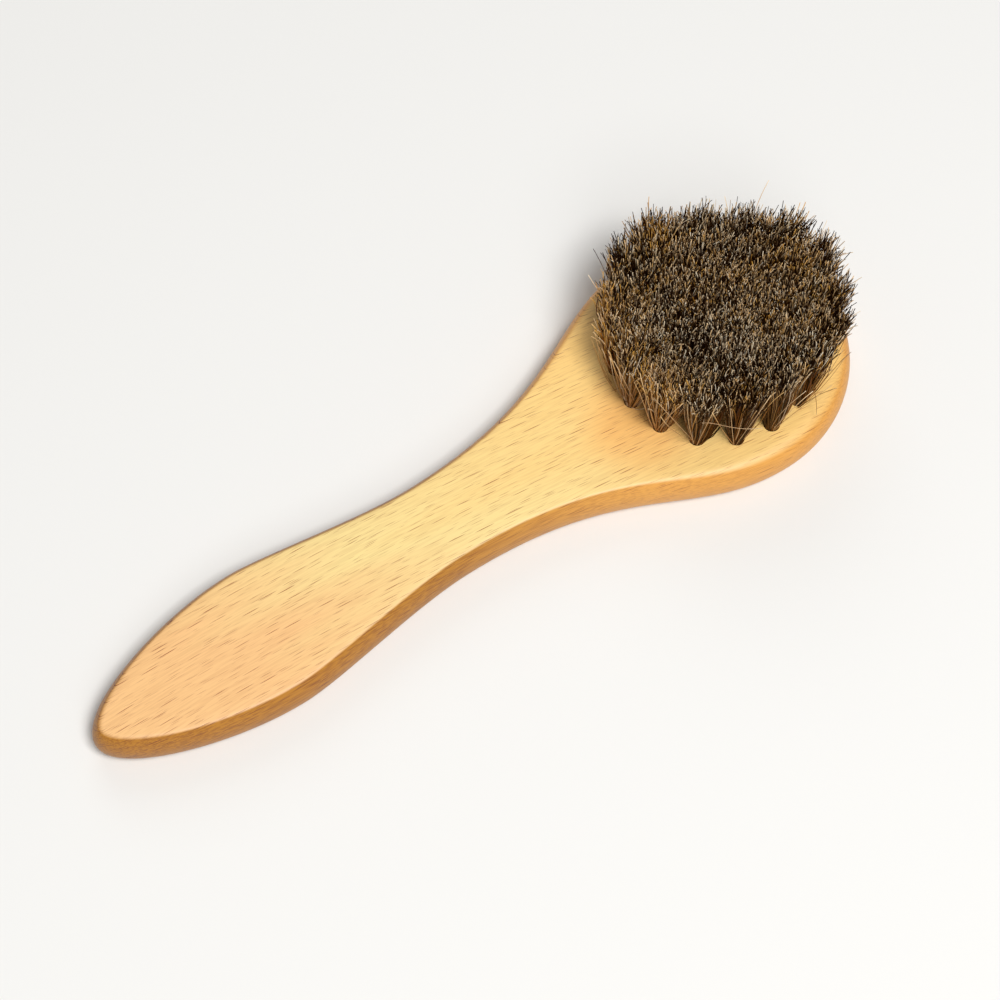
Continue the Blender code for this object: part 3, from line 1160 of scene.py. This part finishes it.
@dataclass(frozen=True)
class StrayHairs:
    """The hairs that have sprung out of the field, each along a cubic curve."""

    hair: Material
    radius: float = 0.075 * MM
    rings: int = 12
    # for each hair the curve's four points in millimetres, its shade and its warmth
    strays: tuple[tuple, ...] = (
        # over the far edge, the left edge and the right edge
        ((77.5, 13.7, 24.0), (79.5, 15.2, 27.5), (81.4, 16.0, 29.3), (83.4, 16.8, 30.5), 0.84, 0.3),
        ((42.8, 15.4, 24.0), (42.1, 17.2, 26.5), (41.8, 18.6, 28.0), (41.7, 20.2, 29.0), 0.92, 0.3),
        ((83.1, -8.9, 24.0), (84.2, -9.7, 26.5), (85.1, -10.2, 27.5), (86.2, -10.5, 28.5), 0.8, 0.3),
        ((76.8, -14.2, 22.0), (78.6, -14.9, 25.0), (79.9, -15.8, 27.0), (81.4, -16.4, 28.5), 0.97, 0.3),
        ((76.2, -14.1, 20.0), (78.1, -14.8, 24.0), (79.6, -15.4, 26.0), (80.9, -15.9, 27.0), 0.9, 0.3),
        # across the front tufts
        ((43.7, -14.9, 10.3), (40.3, -14.9, 19.7), (38.4, -12.1, 24.4), (37.6, -8.3, 26.0), 0.95, 0.6),
        ((43.8, -14.4, 10.3), (39.6, -14.7, 17.6), (38.1, -12.6, 19.7), (38.3, -9.6, 20.0), 0.9, 0.7),
        ((42.8, -17.0, 24.0), (45.7, -17.8, 23.0), (47.3, -21.3, 22.0), (53.0, -23.5, 21.0), 0.93, 0.5),
        ((50.2, -19.8, 10.3), (47.8, -23.8, 25.5), (50.3, -24.0, 29.9), (55.1, -22.0, 30.5), 0.92, 0.5),
        ((49.8, -19.6, 10.3), (48.3, -19.9, 19.4), (47.6, -19.6, 26.5), (48.1, -17.9, 30.5), 0.88, 0.4),
        ((58.0, -20.9, 10.3), (56.7, -23.2, 22.8), (59.1, -24.1, 26.5), (62.6, -23.9, 27.0), 0.9, 0.4),
        ((58.2, -21.3, 10.3), (58.3, -23.5, 19.8), (61.6, -23.5, 22.6), (65.2, -23.3, 23.0), 0.85, 0.3),
        ((39.2, -8.1, 10.3), (36.2, -10.3, 26.2), (35.9, -9.0, 30.9), (37.4, -6.5, 31.5), 0.85, 0.6),
        ((39.1, -8.2, 10.3), (38.3, -11.3, 20.9), (38.6, -12.6, 26.2), (41.0, -12.9, 28.0), 0.9, 0.6),
        ((43.7, -15.4, 10.3), (42.5, -18.0, 22.1), (42.9, -18.7, 28.0), (45.6, -17.5, 30.0), 0.86, 0.5),
        ((43.4, -14.9, 10.3), (41.9, -14.9, 17.6), (41.0, -14.5, 23.3), (42.1, -13.0, 26.5), 0.86, 0.5),
        ((49.8, -19.3, 10.3), (47.7, -18.4, 16.3), (45.8, -18.4, 22.5), (44.3, -17.8, 28.5), 0.84, 0.7),
        # golden ones up the tufts at the near left, and a pale one among them
        ((39.0, -1.2, 10.3), (34.9, -3.6, 24.7), (34.3, -1.8, 28.9), (34.7, 1.6, 29.5), 0.93, 0.6),
        ((38.7, -0.9, 10.3), (34.3, -2.6, 24.7), (33.6, -0.7, 28.9), (34.6, 2.7, 29.5), 0.88, 0.7),
        ((39.1, -7.9, 10.3), (35.3, -10.3, 26.2), (34.8, -8.6, 30.9), (36.7, -4.2, 31.5), 0.95, 0.7),
        ((38.7, -7.4, 10.3), (35.8, -8.2, 21.7), (36.2, -6.5, 25.0), (36.6, -2.8, 25.5), 0.9, 0.7),
        ((35.7, -3.4, 30.0), (37.2, -2.3, 29.5), (38.6, -1.3, 29.0), (39.9, -0.3, 28.5), 1.0, 0.1),
        ((37.7, -0.6, 10.3), (37.8, -1.8, 10.6), (38.4, -3.0, 10.8), (39.9, -3.0, 10.6), 1.0, 0.3),
        # leaning out over the wood at the left
        ((37.6, 5.2, 10.3), (36.1, 6.3, 17.4), (35.7, 8.0, 22.9), (36.6, 10.8, 26.0), 0.85, 0.7),
        ((37.6, 5.5, 10.3), (36.3, 7.1, 14.8), (35.7, 7.9, 19.5), (35.6, 10.0, 24.0), 0.8, 0.8),
        ((37.3, 3.3, 10.3), (35.9, 5.1, 14.2), (35.2, 6.4, 18.1), (35.7, 8.0, 22.0), 0.78, 0.8),
        # leaning out over the wood at the right
        ((65.1, -20.1, 10.3), (65.0, -23.5, 20.6), (69.4, -22.5, 23.6), (75.3, -19.6, 24.0), 0.75, 0.5),
        ((65.3, -20.2, 10.3), (67.2, -22.5, 17.3), (71.3, -22.1, 20.8), (75.6, -20.4, 22.0), 0.7, 0.3),
        ((58.1, -21.5, 10.3), (60.3, -23.1, 17.6), (65.1, -23.6, 19.7), (70.2, -23.3, 20.0), 0.8, 0.5),
        ((65.4, -20.3, 10.3), (65.5, -22.2, 16.8), (68.2, -23.0, 18.7), (71.0, -24.0, 19.0), 0.6, 0.3),
        ((68.3, -20.3, 16.0), (68.2, -21.6, 14.7), (67.7, -22.9, 13.3), (66.7, -24.1, 12.0), 0.7, 0.5),
        ((65.7, -20.3, 10.3), (67.7, -22.7, 20.6), (71.7, -21.4, 23.6), (76.2, -21.0, 24.0), 0.6, 0.3),
    )

    def centreline(self, along: np.ndarray) -> np.ndarray:
        """Points on every hair.

        Args:
            along: Shares of a hair's length.

        Returns:
            An array of hairs by shares by three coordinates.
        """
        t = along[:, None]
        weights = np.concatenate([(1 - t) ** 3, 3 * t * (1 - t) ** 2, 3 * t ** 2 * (1 - t),
                                  t ** 3], 1)
        return weights[None] @ (np.array([stray[:4] for stray in self.strays]) * MM)

    def build(self) -> Object:
        """Builds them as one piece.

        Returns:
            The piece.
        """
        count = len(self.strays)
        bundle = HairBundle(self.hair, count, tuple(np.linspace(0, 1, self.rings)))
        *_, shade, warmth = zip(*self.strays)
        hairs = {"turn": np.arange(count) * GOLDEN_ANGLE, "radius": np.full(count, self.radius),
                 "shade": np.array(shade), "warmth": np.array(warmth),
                 "root_painted_shading": np.ones(count)}
        return bundle.laid("stray_hairs", self.centreline, hairs)


@dataclass(frozen=True)
class SoftBox:
    """A square studio lamp that points at the dauber."""

    name: str
    place: Triple
    size: float
    watts: float

    def build(self) -> None:
        """Adds the lamp."""
        data = bpy.data.lights.new(self.name, "AREA")
        data.size = self.size
        data.energy = self.watts
        lamp = add_object(self.name, data)
        lamp.location = self.place
        lamp.rotation_euler = Vector(self.place).to_track_quat("Z", "Y").to_euler()


@dataclass(frozen=True)
class Studio:
    """Pale floor, soft lamps and the camera at the photo's angle."""

    floor: Material
    azimuth: float = 34.39  # degrees from straight behind the -Y side, towards the tip
    elevation: float = 65.5
    distance: float = 0.6
    aim: Triple = (7.23 * MM, 0.66 * MM, 0.0)
    focal_length: float = 107.33
    surround: float = 0.24
    backdrop: float = 0.9  # how bright the camera sees the surround
    floor_width: float = 6.0
    lamps: tuple[SoftBox, ...] = (
        SoftBox("top_softbox", (0.016, -0.60, 1.38), 0.48, 19.2),
        SoftBox("far_softbox", (0.45, 1.06, 0.99), 0.96, 3.6),
        SoftBox("near_softbox", (-0.32, -0.96, 1.09), 0.64, 4.3),
    )

    def add_camera(self) -> None:
        """Adds the camera."""
        turn, rise = math.radians(self.azimuth), math.radians(self.elevation)
        back = Vector((-math.sin(turn) * math.cos(rise), -math.cos(turn) * math.cos(rise),
                       math.sin(rise)))
        data = bpy.data.cameras.new("photo_camera")
        data.lens = self.focal_length
        data.sensor_width = 36
        data.clip_start = 0.01
        camera = add_object("photo_camera", data)
        camera.location = Vector(self.aim) + back * self.distance
        camera.rotation_euler = back.to_track_quat("Z", "Y").to_euler()
        bpy.context.scene.camera = camera

    def add_world(self) -> None:
        """Adds even soft light from all round, seen as a pale background."""
        world = bpy.data.worlds.new("studio_surround")
        world.use_nodes = True
        tree = world.node_tree
        tree.nodes.clear()
        path = add_node(tree, "LightPath")
        strength = add_node(tree, "MapRange", {"Value": path.outputs["Is Camera Ray"],
                                               "To Min": self.surround,
                                               "To Max": self.backdrop})
        light = add_node(tree, "Background", {"Strength": strength})
        add_node(tree, "OutputWorld", {"Surface": light})
        bpy.context.scene.world = world

    def add_floor(self) -> None:
        """Adds the floor that the dauber lies on."""
        bm = bmesh.new()
        bmesh.ops.create_grid(bm, x_segments=1, y_segments=1, size=self.floor_width / 2)
        piece = add_object("pale_floor", to_mesh(bm, "pale_floor", self.floor))
        piece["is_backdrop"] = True

    def build(self) -> None:
        """Builds the whole studio."""
        self.add_camera()
        self.add_world()
        self.add_floor()
        for lamp in self.lamps:
            lamp.build()
        bpy.context.scene.view_settings.view_transform = "Standard"


def report(piece: Object) -> None:
    """Reports a piece and its number of faces."""
    LOG.info("%s: %d faces", piece.name, len(piece.data.polygons))


def write_sizes() -> None:
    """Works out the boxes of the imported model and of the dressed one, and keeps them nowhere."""
    boxes = {"cad": CAD_BOX, "visual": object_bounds()}
    {name: [list(corner) for corner in box] for name, box in boxes.items()}


def main() -> None:
    """Builds the studio and the dauber in it."""
    logging.basicConfig(level=logging.INFO, format="%(name)s %(message)s")
    drilling = HolePattern()
    Studio(PaleFloor().make()).build()
    report(BeechHandle(LacqueredBeech().make(), drilling).build())
    report(TuftAnchors(ZincPlatedSteel().make(), drilling).build())
    hair = Horsehair().make()
    for tuft in HairField(hair, drilling).build():
        report(tuft)
    report(StrayHairs(hair).build())
    write_sizes()


if __name__ == "__main__":
    main()
